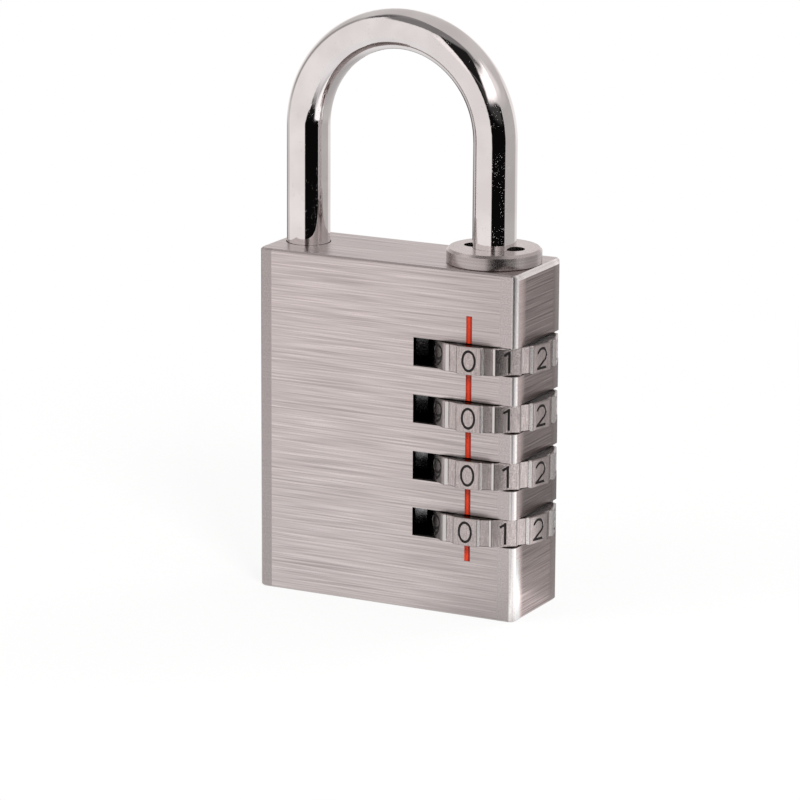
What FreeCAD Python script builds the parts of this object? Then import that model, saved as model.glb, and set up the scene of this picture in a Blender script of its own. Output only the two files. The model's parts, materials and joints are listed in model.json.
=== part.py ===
import FreeCAD, Part
import math
import os

# Four-dial combination padlock, in millimetres.
# Origin: centre of the case's underside. +X runs from the short leg of the shackle to the
# numbered dials, -Y is the front with the index line, +Z points up to the shackle's bow.

# Case: foot below the stack of dials, head above it
case_width = 40.0
case_depth = 14.25
case_foot_height = 8.55
case_head_height = 8.12
case_corner_radius = 1.0
case_edge_break = 0.25
side_bevel_drop = 0.75
side_bevel_inset = 0.4

# Shackle, a round bar bent to a half circle and a little flattened at its crown
bar_radius = 3.05
heel_inset = 6.94
toe_inset = 4.11
leg_rise = 16.7
crown_flattening = 0.28
bow_section_step = 15
toe_depth = 6.5
toe_chamfer = 0.5
toe_hole_clearance = 0.12
toe_hole_end_gap = 0.5

# Stack of dials on the heel leg
dial_count = 4
slot_height = 4.02
web_height = 4.05
dial_end_gap = 0.06
pocket_gap = 2.28

# Dial ring: flat numbered pads with flutes between them
digits_per_dial = 10
dial_proud = 1.695
pad_angle = 23.5
flute_depth = 0.45
flute_floor_width = 1.15
ring_edge_break = 0.12
ring_bore_clearance = 0.07
ring_rest_turns = [3.4, 3.4, 3.1, 1.3]

# Numerals
numeral_margin = 0.405
numeral_width = 2.18
numeral_stroke = 0.36
numeral_depth = 0.25
numeral_fill_drop = 0.12

# Code sleeves, one inside each dial and keyed to it
sleeve_wall = 0.9
sleeve_bore_clearance = 0.05
sleeve_end_play = 0.04
gate_flange_height = 1.5
gate_side_room = 0.25
key_reach = 0.9
key_width = 1.2
key_end_room = 1.05
key_clearance = 0.1
key_notch_side_room = 0.3

# Spindle: the turned-down lower end of the heel leg, with a lug for each gate
lug_reach = 0.9
lug_width = 1.6
lug_height = 1.8
lug_play = 0.3
spindle_clearance = 0.1
shoulder_gap = 0.2
spindle_end_length = 0.7
clip_thickness = 0.6
clip_groove_depth = 0.6
clip_groove_clearance = 0.05
clip_mouth = 2.6

# Collar round the heel leg
collar_wall = 2.0
collar_lip = 1.55
collar_height = 2.1
collar_rim_break = 0.35
collar_foot_break = 0.12
collar_neck_clearance = 0.02
collar_bore_clearance = 0.05
spanner_notch_width = 3.0
spanner_notch_reach = 1.45
spanner_notch_depth = 3.0

# Sleeve spring and base plug, under the stack of sleeves
spring_wire_radius = 0.4
spring_inner_gap = 0.45
spring_half_turns = 5
spring_end_gap = 0.05
base_plug_height = 1.6
base_plug_clearance = 0.03
plug_recess = 0.1

# Detent springs, one for each dial, stacked in a drilled channel left of the dials
channel_radius = 1.7
channel_inset = 0.85
channel_end_room = 0.1
channel_plug_clearance = 0.03
leaf_thickness = 0.25
leaf_foot_gap = 0.08
leaf_foot_spread = 1.15
leaf_back_reach = 1.0
leaf_nose_gap = 0.15
leaf_nose_end_room = 0.3

# Index line painted in a groove down the front
index_offset = -0.24
index_width = 0.88
index_above = 3.85
index_below = 2.62
index_groove_depth = 0.3
index_fill_drop = 0.17

# Places and sizes that follow from those above
dial_pitch = slot_height + web_height
stack_bottom = case_foot_height
stack_top = stack_bottom + dial_pitch * dial_count
case_height = stack_top + case_head_height
case_front_y = -case_depth / 2
dial_planes = [stack_top - dial_pitch * (n + 0.5) for n in range(dial_count)]
heel_x = case_width / 2 - heel_inset
toe_x = toe_inset - case_width / 2
bow_radius = (heel_x - toe_x) / 2
bow_centre_z = case_height + leg_rise
index_x = heel_x + index_offset
index_top = dial_planes[0] + slot_height / 2 + index_above
index_bottom = dial_planes[-1] - slot_height / 2 - index_below

dial_height = slot_height - 2 * dial_end_gap
digit_step = 360.0 / digits_per_dial
pad_distance = case_depth / 2 + dial_proud
pad_corner_radius = pad_distance / math.cos(math.radians(pad_angle / 2))
flute_half_angle = (digit_step - pad_angle) / 2
flute_floor_distance = pad_corner_radius * math.cos(math.radians(flute_half_angle)) - flute_depth
pocket_radius = pad_corner_radius + pocket_gap
numeral_height = dial_height - 2 * numeral_margin

lug_chamber_radius = bar_radius + spindle_clearance
sleeve_radius = lug_chamber_radius + sleeve_wall
sleeve_bore_radius = sleeve_radius + sleeve_bore_clearance
sleeve_length = dial_pitch - sleeve_end_play
key_radius = sleeve_radius + key_reach
key_height = slot_height - 2 * key_end_room
keyway_radius = key_radius + key_clearance
gate_width = lug_width + 2 * gate_side_room

spindle_radius = bar_radius - lug_reach
gate_bore_radius = spindle_radius + spindle_clearance
clip_groove_radius = spindle_radius - clip_groove_depth
lowest_flange_underside = dial_planes[-1] + sleeve_length / 2 - gate_flange_height
clip_top = lowest_flange_underside - lug_play - dial_pitch
spindle_end_z = clip_top - clip_thickness - spindle_end_length

collar_neck_radius = bar_radius + collar_wall
collar_radius = collar_neck_radius + collar_lip
collar_top = case_height + collar_height
collar_neck_bottom = stack_top + sleeve_end_play / 2
spring_mean_radius = bar_radius + spring_inner_gap + spring_wire_radius
channel_x = heel_x - pocket_radius + channel_inset


def at(x, y, z):
    return FreeCAD.Vector(x, y, z)


def upright_disc(radius, low, high, x, y=0.0):
    return Part.makeCylinder(radius, high - low, at(x, y, low))


def block(x_low, x_high, y_low, y_high, z_low, z_high):
    size = (x_high - x_low, y_high - y_low, z_high - z_low)
    return Part.makeBox(size[0], size[1], size[2], at(x_low, y_low, z_low))


def prism(corners, z_low, height):
    points = [at(x, y, z_low) for x, y in corners]
    outline = Part.makePolygon(points + points[:1])
    return Part.Face(outline).extrude(at(0, 0, height))


def joined(shapes):
    whole = shapes[0].multiFuse(shapes[1:]) if len(shapes) > 1 else shapes[0]
    return whole.removeSplitter()


def edges_at_height(shape, z):
    return [e for e in shape.Edges if abs(e.BoundBox.ZMin - z) < 1e-6 and abs(e.BoundBox.ZMax - z) < 1e-6]


def upright_edges(shape, height):
    return [e for e in shape.Edges if abs(e.BoundBox.ZLength - height) < 1e-6]


# Case: a rounded block with pockets, bores and the index groove

def case_block():
    body = block(-case_width / 2, case_width / 2, -case_depth / 2, case_depth / 2, 0, case_height)
    body = body.makeFillet(case_corner_radius, upright_edges(body, case_height))
    rims = edges_at_height(body, case_height) + edges_at_height(body, 0)
    body = body.makeChamfer(case_edge_break, rims)
    return body.cut(side_bevel())


def side_bevel():
    right = case_width / 2
    slope = side_bevel_drop / side_bevel_inset
    corners = [
        at(right + side_bevel_inset, -case_depth, case_height - side_bevel_drop - side_bevel_inset * slope),
        at(right - side_bevel_inset, -case_depth, case_height),
        at(right - side_bevel_inset, -case_depth, case_height + side_bevel_drop),
        at(right + side_bevel_inset, -case_depth, case_height + side_bevel_drop),
    ]
    face = Part.Face(Part.makePolygon(corners + corners[:1]))
    return face.extrude(at(0, 2 * case_depth, 0))


def dial_pockets():
    half = slot_height / 2
    return [upright_disc(pocket_radius, z - half, z + half, heel_x) for z in dial_planes]


def heel_bores():
    sleeve_bore = upright_disc(sleeve_bore_radius, stack_bottom, stack_top, heel_x)
    half_keyway = key_width / 2 + key_clearance
    keyway = block(heel_x - keyway_radius, heel_x, -half_keyway, half_keyway, stack_bottom, stack_top)
    neck_bore = upright_disc(collar_neck_radius, stack_top, case_height, heel_x)
    spring_chamber = upright_disc(keyway_radius, 0, stack_bottom, heel_x)
    return [sleeve_bore, keyway, neck_bore, spring_chamber]


def toe_hole():
    radius = bar_radius + toe_hole_clearance
    bottom = case_height - toe_depth - toe_hole_end_gap
    return upright_disc(radius, bottom, case_height, toe_x)


def detent_channel():
    return upright_disc(channel_radius, 0, stack_top + channel_end_room, channel_x)


def index_groove():
    half = index_width / 2
    back = case_front_y + index_groove_depth
    return block(index_x - half, index_x + half, case_front_y - 1, back, index_bottom, index_top)


def case():
    holes = dial_pockets() + heel_bores() + [toe_hole(), detent_channel(), index_groove()]
    return case_block().cut(holes)


# Index line: red paint in the groove, in the stretches that the dial slots leave

def index_line():
    half_slot = slot_height / 2
    stops = [index_top]
    for z in dial_planes:
        stops += [z + half_slot, z - half_slot]
    stops += [index_bottom]
    low_y = case_front_y + index_fill_drop
    high_y = case_front_y + index_groove_depth
    low_x = index_x - index_width / 2
    high_x = index_x + index_width / 2
    fills = []
    for top, bottom in zip(stops[0::2], stops[1::2]):
        fills.append(block(low_x, high_x, low_y, high_y, bottom, top))
    return Part.makeCompound(fills)


# Shackle: toe leg, bow and heel leg, which ends in the spindle with its locking lugs

def bow_section(angle):
    turn = math.radians(angle)
    radial_half = bar_radius - crown_flattening * math.sin(turn) ** 2
    side_half = bar_radius ** 2 / radial_half
    outward = at(math.cos(turn), 0, math.sin(turn))
    centre = at(heel_x - bow_radius, 0, bow_centre_z) + outward * bow_radius
    if side_half - radial_half < 1e-6:
        return Part.Wire(Part.makeCircle(bar_radius, centre, at(-math.sin(turn), 0, math.cos(turn))))
    ellipse = Part.Ellipse(centre + at(0, side_half, 0), centre + outward * radial_half, centre)
    return Part.Wire(ellipse.toShape())


def bow():
    sections = [bow_section(angle) for angle in range(0, 181, bow_section_step)]
    return Part.makeLoft(sections, True, False)


def toe_leg():
    end = case_height - toe_depth
    leg = upright_disc(bar_radius, end, bow_centre_z, toe_x)
    return leg.makeChamfer(toe_chamfer, edges_at_height(leg, end))


def locking_lug(flange_underside):
    top = flange_underside - lug_play
    bar = upright_disc(bar_radius, top - lug_height, top, heel_x)
    half = lug_width / 2
    reach = block(heel_x - bar_radius, heel_x, -half, half, top - lug_height, top)
    return bar.common(reach)


def clip_groove():
    low = clip_top - clip_thickness - clip_groove_clearance
    high = clip_top + clip_groove_clearance
    outer = upright_disc(spindle_radius + 1, low, high, heel_x)
    return outer.cut(upright_disc(clip_groove_radius, low, high, heel_x))


def heel_leg():
    leg = upright_disc(bar_radius, stack_top + shoulder_gap, bow_centre_z, heel_x)
    spindle = upright_disc(spindle_radius, spindle_end_z, stack_top + shoulder_gap, heel_x)
    lugs = [locking_lug(z + sleeve_length / 2 - gate_flange_height) for z in dial_planes]
    return joined([leg, spindle] + lugs).cut(clip_groove())


def shackle():
    return joined([bow(), toe_leg(), heel_leg()])


def retaining_clip():
    low = clip_top - clip_thickness
    plate = upright_disc(bar_radius, low, clip_top, heel_x)
    seat = upright_disc(clip_groove_radius + clip_groove_clearance, low, clip_top, heel_x)
    half = clip_mouth / 2
    mouth = block(heel_x, heel_x + bar_radius + 1, -half, half, low, clip_top)
    return plate.cut([seat, mouth])


# Collar: a flanged guide bush with two notches for a pin spanner

def spanner_notch(side):
    half = spanner_notch_width / 2
    low = collar_top - spanner_notch_depth
    end_x = heel_x + side * (bar_radius + spanner_notch_reach - half)
    round_end = upright_disc(half, low, collar_top, end_x)
    slot = block(min(heel_x, end_x), max(heel_x, end_x), -half, half, low, collar_top)
    return round_end.fuse(slot)


def collar():
    flange = upright_disc(collar_radius, case_height, collar_top, heel_x)
    flange = flange.makeChamfer(collar_rim_break, edges_at_height(flange, collar_top))
    flange = flange.makeChamfer(collar_foot_break, edges_at_height(flange, case_height))
    neck_radius = collar_neck_radius - collar_neck_clearance
    neck = upright_disc(neck_radius, collar_neck_bottom, case_height, heel_x)
    bore = upright_disc(bar_radius + collar_bore_clearance, collar_neck_bottom, collar_top, heel_x)
    return joined([flange, neck]).cut([bore, spanner_notch(-1), spanner_notch(1)])


# Numerals: plain strokes of one width, drawn flat and then laid on the pads

def bar_stroke(u0, v0, u1, v1):
    length = math.hypot(u1 - u0, v1 - v0)
    across_u = -(v1 - v0) / length * numeral_stroke / 2
    across_v = (u1 - u0) / length * numeral_stroke / 2
    corners = [
        (u0 + across_u, v0 + across_v),
        (u0 - across_u, v0 - across_v),
        (u1 - across_u, v1 - across_v),
        (u1 + across_u, v1 + across_v),
    ]
    return prism(corners, 0, 1)


def ellipse_curve(cu, cv, ru, rv):
    centre = at(cu, cv, 0)
    if abs(rv - ru) < 1e-6:
        return Part.Circle(centre, at(0, 0, 1), ru), 0.0
    if rv > ru:
        return Part.Ellipse(at(cu, cv + rv, 0), at(cu - ru, cv, 0), centre), math.pi / 2
    return Part.Ellipse(at(cu + ru, cv, 0), at(cu, cv + rv, 0), centre), 0.0


def ring_stroke(cu, cv, ru, rv):
    half = numeral_stroke / 2
    outer = Part.Wire(ellipse_curve(cu, cv, ru + half, rv + half)[0].toShape())
    inner = Part.Wire(ellipse_curve(cu, cv, ru - half, rv - half)[0].toShape())
    plate = Part.Face(outer).extrude(at(0, 0, 1))
    return plate.cut(Part.Face(inner).extrude(at(0, 0, 1)))


def arc_edge(cu, cv, ru, rv, start, end):
    curve, offset = ellipse_curve(cu, cv, ru, rv)
    return curve.toShape(math.radians(start) - offset, math.radians(end) - offset)


def arc_stroke(cu, cv, ru, rv, start, end):
    half = numeral_stroke / 2
    outer = arc_edge(cu, cv, ru + half, rv + half, start, end)
    inner = arc_edge(cu, cv, ru - half, rv - half, start, end)
    first_cap = Part.makeLine(outer.Vertexes[0].Point, inner.Vertexes[0].Point)
    last_cap = Part.makeLine(outer.Vertexes[-1].Point, inner.Vertexes[-1].Point)
    outline = Part.Wire(Part.__sortEdges__([outer, last_cap, inner, first_cap]))
    return Part.Face(outline).extrude(at(0, 0, 1))


def six_strokes(a, b):
    return [
        ring_stroke(0, a - b, a, a),
        arc_stroke(0.6 * a, a - b, 1.6 * a, 2 * b - a, 95, 180),
    ]


def numeral_strokes(digit):
    a = (numeral_width - numeral_stroke) / 2
    b = (numeral_height - numeral_stroke) / 2
    half = numeral_stroke / 2
    if digit == 0:
        return [ring_stroke(0, 0, a, b)]
    if digit == 1:
        stem = bar_stroke(0.17 * a, -b - half, 0.17 * a, b + half)
        return [stem, bar_stroke(0.17 * a, b, -0.67 * a, 0.67 * b)]
    if digit == 2:
        turn = math.radians(-55)
        end = (a * math.cos(turn), b - a + a * math.sin(turn))
        arc = arc_stroke(0, b - a, a, a, -55, 165)
        return [arc, bar_stroke(end[0], end[1], -a, -b), bar_stroke(-a - half, -b, a, -b)]
    if digit == 3:
        return [arc_stroke(0, b / 2, 0.9 * a, b / 2, -90, 155), arc_stroke(0, -b / 2, a, b / 2, -155, 90)]
    if digit == 4:
        stem = bar_stroke(a / 2, -b - half, a / 2, b + half)
        slant = bar_stroke(a / 2, b, -a, -b / 3)
        return [stem, slant, bar_stroke(-a - half, -b / 3, a + half, -b / 3)]
    if digit == 5:
        top = bar_stroke(-0.75 * a, b, 0.85 * a, b)
        side = bar_stroke(-0.75 * a, b + half, -0.75 * a, 0)
        return [top, side, arc_stroke(0, a - b, a, a, -150, 145)]
    if digit == 6:
        return six_strokes(a, b)
    if digit == 7:
        return [bar_stroke(-a, b, a + half, b), bar_stroke(a, b, -a / 3, -b - half)]
    if digit == 8:
        upper = 0.48 * b
        lower = b - upper
        return [ring_stroke(0, b - upper, 0.82 * a, upper), ring_stroke(0, lower - b, a, lower)]
    nine = [stroke.copy() for stroke in six_strokes(a, b)]
    for stroke in nine:
        stroke.rotate(at(0, 0, 0), at(0, 0, 1), 180)
    return nine


def numeral_on_pad(digit, floor_distance, thickness):
    flat = joined(numeral_strokes(digit))
    grow = FreeCAD.Matrix()
    grow.scale(1, 1, thickness)
    numeral = flat.transformGeometry(grow)
    numeral.rotate(at(0, 0, 0), at(1, 0, 0), 90)
    numeral.translate(at(0, -floor_distance, 0))
    numeral.rotate(at(0, 0, 0), at(0, 0, 1), digit * digit_step)
    return numeral


# Dial ring: ten numbered pads, flutes, and ten notches for the sleeve's key

def ring_outline():
    corners = []
    floor_half = math.degrees(math.atan2(flute_floor_width / 2, flute_floor_distance))
    floor_radius = math.hypot(flute_floor_width / 2, flute_floor_distance)
    for n in range(digits_per_dial):
        pad = n * digit_step - 90
        flute = pad + digit_step / 2
        turns = [pad - pad_angle / 2, pad + pad_angle / 2, flute - floor_half, flute + floor_half]
        radii = [pad_corner_radius, pad_corner_radius, floor_radius, floor_radius]
        for turn, radius in zip(turns, radii):
            spot = math.radians(turn)
            corners.append((radius * math.cos(spot), radius * math.sin(spot)))
    return corners


def key_notches(low, high):
    half = key_width / 2 + key_notch_side_room
    notches = []
    for n in range(digits_per_dial):
        notch = block(0, keyway_radius, -half, half, low, high)
        notch.rotate(at(0, 0, 0), at(0, 0, 1), (n + 0.5) * digit_step - 90)
        notches.append(notch)
    return notches


def plain_ring():
    half = dial_height / 2
    ring = prism(ring_outline(), -half, dial_height)
    rims = edges_at_height(ring, half) + edges_at_height(ring, -half)
    ring = ring.makeChamfer(ring_edge_break, rims)
    bore = upright_disc(sleeve_radius + ring_bore_clearance, -half, half, 0)
    return ring.cut([bore] + key_notches(-half, half))


def place_on_dial(shape, n):
    shape = shape.copy()
    shape.rotate(at(0, 0, 0), at(0, 0, 1), ring_rest_turns[n % len(ring_rest_turns)])
    shape.translate(at(heel_x, 0, dial_planes[n]))
    return shape


def dial_ring_shape():
    floor = pad_distance - numeral_depth
    cutters = [numeral_on_pad(d, floor, 2 * numeral_depth) for d in range(digits_per_dial)]
    return plain_ring().cut(cutters)


def numerals_shape():
    floor = pad_distance - numeral_depth
    thickness = numeral_depth - numeral_fill_drop
    fills = [numeral_on_pad(d, floor, thickness) for d in range(digits_per_dial)]
    return Part.makeCompound(fills)


# Code sleeve: a gate flange at the top, a chamber below it, a key outside

def code_sleeve(n):
    mid = dial_planes[n]
    low = mid - sleeve_length / 2
    high = mid + sleeve_length / 2
    flange_low = high - gate_flange_height
    half_key = key_width / 2
    tube = upright_disc(sleeve_radius, low, high, heel_x)
    key = block(heel_x - key_radius, heel_x, -half_key, half_key, mid - key_height / 2, mid + key_height / 2)
    chamber = upright_disc(lug_chamber_radius, low, flange_low, heel_x)
    gate_bore = upright_disc(gate_bore_radius, flange_low, high, heel_x)
    half_gate = gate_width / 2
    gate = block(heel_x - lug_chamber_radius, heel_x, -half_gate, half_gate, flange_low, high)
    return joined([tube, key]).cut([chamber, gate_bore, gate])


# Sleeve spring and the plugs that close the two bores from below

def half_turn(start, end):
    centre = (start + end) * 0.5
    profile = Part.Face(Part.Wire(Part.makeCircle(spring_wire_radius, start, at(0, 1, 0))))
    side = at(0, start.x, 0)
    return profile.revolve(centre, (start - centre).cross(side), 180)


def sleeve_spring():
    low = base_plug_height + spring_end_gap + spring_wire_radius
    high = stack_bottom - spring_end_gap - spring_wire_radius
    rise = (high - low) / spring_half_turns
    halves = []
    for n in range(spring_half_turns):
        x = spring_mean_radius if n % 2 == 0 else -spring_mean_radius
        halves.append(half_turn(at(x, 0, n * rise), at(-x, 0, (n + 1) * rise)))
    coil = joined(halves).Solids[0]
    coil.translate(at(heel_x, 0, low))
    return coil


def base_plug():
    radius = keyway_radius - base_plug_clearance
    return upright_disc(radius, plug_recess, base_plug_height, heel_x)


def channel_plug():
    radius = channel_radius - channel_plug_clearance
    return upright_disc(radius, plug_recess, stack_bottom, channel_x)


# Detent spring: a V-shaped leaf whose nose sits in a flute of its dial

def leaf_arm(start, end, low, high):
    length = math.hypot(end[0] - start[0], end[1] - start[1])
    across_x = -(end[1] - start[1]) / length * leaf_thickness / 2
    across_y = (end[0] - start[0]) / length * leaf_thickness / 2
    corners = [
        (start[0] + across_x, start[1] + across_y),
        (start[0] - across_x, start[1] - across_y),
        (end[0] - across_x, end[1] - across_y),
        (end[0] + across_x, end[1] + across_y),
    ]
    return prism(corners, low, high - low)


def detent_spring(n):
    mid = dial_planes[n]
    low = mid - dial_pitch / 2 + sleeve_end_play / 2
    high = mid + dial_pitch / 2 - sleeve_end_play / 2
    half = leaf_thickness / 2
    nose = (heel_x - flute_floor_distance - leaf_nose_gap - half, 0)
    foot_radius = channel_radius - leaf_foot_gap - half
    foot_x = channel_x - math.sqrt(foot_radius ** 2 - leaf_foot_spread ** 2)
    feet = [(foot_x, -leaf_foot_spread), (foot_x, leaf_foot_spread)]
    pieces = [leaf_arm(foot, nose, low, high) for foot in feet]
    pieces += [upright_disc(half, low, high, x, y) for x, y in feet + [nose]]
    leaf = joined(pieces)
    room = slot_height / 2 - leaf_nose_end_room
    back_x = channel_x + leaf_back_reach
    upper = block(back_x, heel_x, -channel_radius, channel_radius, mid + room, high)
    lower = block(back_x, heel_x, -channel_radius, channel_radius, low, mid - room)
    return leaf.cut([upper, lower])


def save(shape, node):
    shape.exportStep("parts/" + node + ".step")
    print(node, "solids", len(shape.Solids), "valid", shape.isValid(), "volume", round(shape.Volume, 3))


def main():
    os.makedirs("parts", exist_ok=True)
    save(case(), "case")
    save(shackle(), "shackle")
    save(retaining_clip(), "retaining_clip")
    save(collar(), "collar")
    save(index_line(), "index_line")
    save(base_plug(), "base_plug")
    save(channel_plug(), "channel_plug")
    save(sleeve_spring(), "sleeve_spring")
    ring = dial_ring_shape()
    numerals = numerals_shape()
    for n in range(dial_count):
        name = str(n + 1)
        save(place_on_dial(ring, n), "dial_ring_" + name)
        save(place_on_dial(numerals, n), "numerals_" + name)
        save(code_sleeve(n), "code_sleeve_" + name)
        save(detent_spring(n), "detent_spring_" + name)


main()
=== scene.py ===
import json
import math
import bmesh
import bpy
from mathutils import Matrix, Vector


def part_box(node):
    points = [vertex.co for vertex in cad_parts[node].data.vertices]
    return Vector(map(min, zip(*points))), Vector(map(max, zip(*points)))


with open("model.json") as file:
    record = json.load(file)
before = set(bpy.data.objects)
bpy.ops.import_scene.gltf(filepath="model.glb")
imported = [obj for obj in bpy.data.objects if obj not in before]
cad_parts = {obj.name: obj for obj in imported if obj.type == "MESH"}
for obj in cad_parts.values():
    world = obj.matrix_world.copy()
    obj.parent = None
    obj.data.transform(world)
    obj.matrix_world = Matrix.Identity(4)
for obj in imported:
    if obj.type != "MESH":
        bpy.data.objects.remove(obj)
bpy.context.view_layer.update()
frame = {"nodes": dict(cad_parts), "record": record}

scene = bpy.context.scene
mm = 0.001
degreesPerRadian = 180 / math.pi
print("frame loaded:", len(frame["nodes"]), "nodes")


# node helpers, shared by every material and group

def addNode(tree, kind, x, y, **settings):
    node = tree.nodes.new(kind)
    node.location = (x, y)
    for key, value in settings.items():
        setattr(node, key, value)
    return node


def join(tree, source, target):
    tree.links.new(source, target)


def feed(tree, socket, value):
    # a socket is linked, anything else is a plain setting
    if isinstance(value, bpy.types.NodeSocket):
        tree.links.new(value, socket)
    else:
        socket.default_value = value


def mathNode(tree, x, y, operation, a, b=0.0):
    node = addNode(tree, "ShaderNodeMath", x, y, operation=operation)
    feed(tree, node.inputs[0], a)
    feed(tree, node.inputs[1], b)
    return node.outputs[0]


def productNode(tree, x, y, *values):
    result = values[0]
    for n, value in enumerate(values[1:]):
        result = mathNode(tree, x + 150 * n, y, "MULTIPLY", result, value)
    return result


def vectorNode(tree, x, y, operation, a, b=None):
    node = addNode(tree, "ShaderNodeVectorMath", x, y, operation=operation)
    feed(tree, node.inputs[0], a)
    if b is not None:
        feed(tree, node.inputs[1], b)
    return node.outputs["Value" if operation in ("LENGTH", "DOT_PRODUCT") else "Vector"]


def axesNode(tree, x, y, vector):
    node = addNode(tree, "ShaderNodeSeparateXYZ", x, y)
    join(tree, vector, node.inputs[0])
    return node.outputs


def azimuthNode(tree, x, y, axes):
    # degrees round the upright axis
    angle = mathNode(tree, x, y, "ARCTAN2", axes["Y"], axes["X"])
    return mathNode(tree, x + 150, y, "MULTIPLY", angle, degreesPerRadian)


def rangeNode(tree, x, y, value, low, high, toLow=0.0, toHigh=1.0, smooth=True):
    node = addNode(tree, "ShaderNodeMapRange", x, y)
    node.interpolation_type = "SMOOTHSTEP" if smooth else "LINEAR"
    feed(tree, node.inputs["Value"], value)
    feed(tree, node.inputs["From Min"], low)
    feed(tree, node.inputs["From Max"], high)
    feed(tree, node.inputs["To Min"], toLow)
    feed(tree, node.inputs["To Max"], toHigh)
    return node.outputs["Result"]


def stepNode(tree, x, y, value, place, soft, toLow=0.0, toHigh=1.0):
    return rangeNode(tree, x, y, value, place - soft, place + soft, toLow, toHigh)


def bandNode(tree, x, y, value, low, high, softLow, softHigh):
    # 1 between low and high, 0 outside
    rise = stepNode(tree, x, y, value, low, softLow)
    fall = stepNode(tree, x, y - 180, value, high, softHigh, 1.0, 0.0)
    return mathNode(tree, x + 180, y, "MULTIPLY", rise, fall)


def mixFloat(tree, x, y, factor, a, b):
    node = addNode(tree, "ShaderNodeMix", x, y, data_type="FLOAT")
    feed(tree, node.inputs[0], factor)
    feed(tree, node.inputs[2], a)
    feed(tree, node.inputs[3], b)
    return node.outputs[0]


def mixColour(tree, x, y, factor, a, b, blend="MIX"):
    node = addNode(tree, "ShaderNodeMix", x, y, data_type="RGBA", blend_type=blend)
    feed(tree, node.inputs[0], factor)
    feed(tree, node.inputs[6], a)
    feed(tree, node.inputs[7], b)
    return node.outputs[2]


def shadeNode(tree, x, y, colour, tone):
    return mixColour(tree, x, y, 1.0, colour, tone, "MULTIPLY")


def noiseNode(tree, x, y, vector, scale, detail=2.0, roughness=0.5):
    node = addNode(tree, "ShaderNodeTexNoise", x, y)
    feed(tree, node.inputs["Vector"], vector)
    feed(tree, node.inputs["Scale"], scale)
    feed(tree, node.inputs["Detail"], detail)
    feed(tree, node.inputs["Roughness"], roughness)
    return node.outputs["Fac"]


def newGroup(name, inputs, outputs):
    group = bpy.data.node_groups.new(name, "ShaderNodeTree")
    for socketName, kind, value in inputs:
        socket = group.interface.new_socket(socketName, in_out="INPUT", socket_type=kind)
        if value is not None:
            socket.default_value = value
    for socketName in outputs:
        group.interface.new_socket(socketName, in_out="OUTPUT", socket_type="NodeSocketFloat")
    start = addNode(group, "NodeGroupInput", -1400, 0)
    end = addNode(group, "NodeGroupOutput", 1000, 0)
    return group, start.outputs, end.inputs


def placeGroup(tree, group, x, y, **values):
    node = addNode(tree, "ShaderNodeGroup", x, y)
    node.node_tree = group
    for key, value in values.items():
        feed(tree, node.inputs[key], value)
    return node


# camera: long lens, from the front right and a little above

cameraSetup = dict(
    place=(275.87, -541.1, 178.57),   # mm
    azimuth=27.129,
    elevation=13.938,
    roll=0.31,
    lens=201.48,
    sensor=36.0,
)


def addCamera(setup):
    data = bpy.data.cameras.new("photoCamera")
    data.lens = setup["lens"]
    data.sensor_width = setup["sensor"]
    data.clip_start = 0.01
    data.clip_end = 20
    camera = bpy.data.objects.new("photoCamera", data)
    scene.collection.objects.link(camera)
    turn = Matrix.Rotation(math.radians(setup["azimuth"]), 4, "Z")
    tilt = Matrix.Rotation(math.radians(90 - setup["elevation"]), 4, "X")
    roll = Matrix.Rotation(math.radians(setup["roll"]), 4, "Z")
    camera.matrix_world = Matrix.Translation(Vector(setup["place"]) * mm) @ turn @ tilt @ roll
    scene.camera = camera


addCamera(cameraSetup)
print("camera set")


# studio: grey room with a big white panel on the left and a dark stretch at the front right
# azimuth is in degrees round the lock, 0 along +X and 90 along +Y

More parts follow.
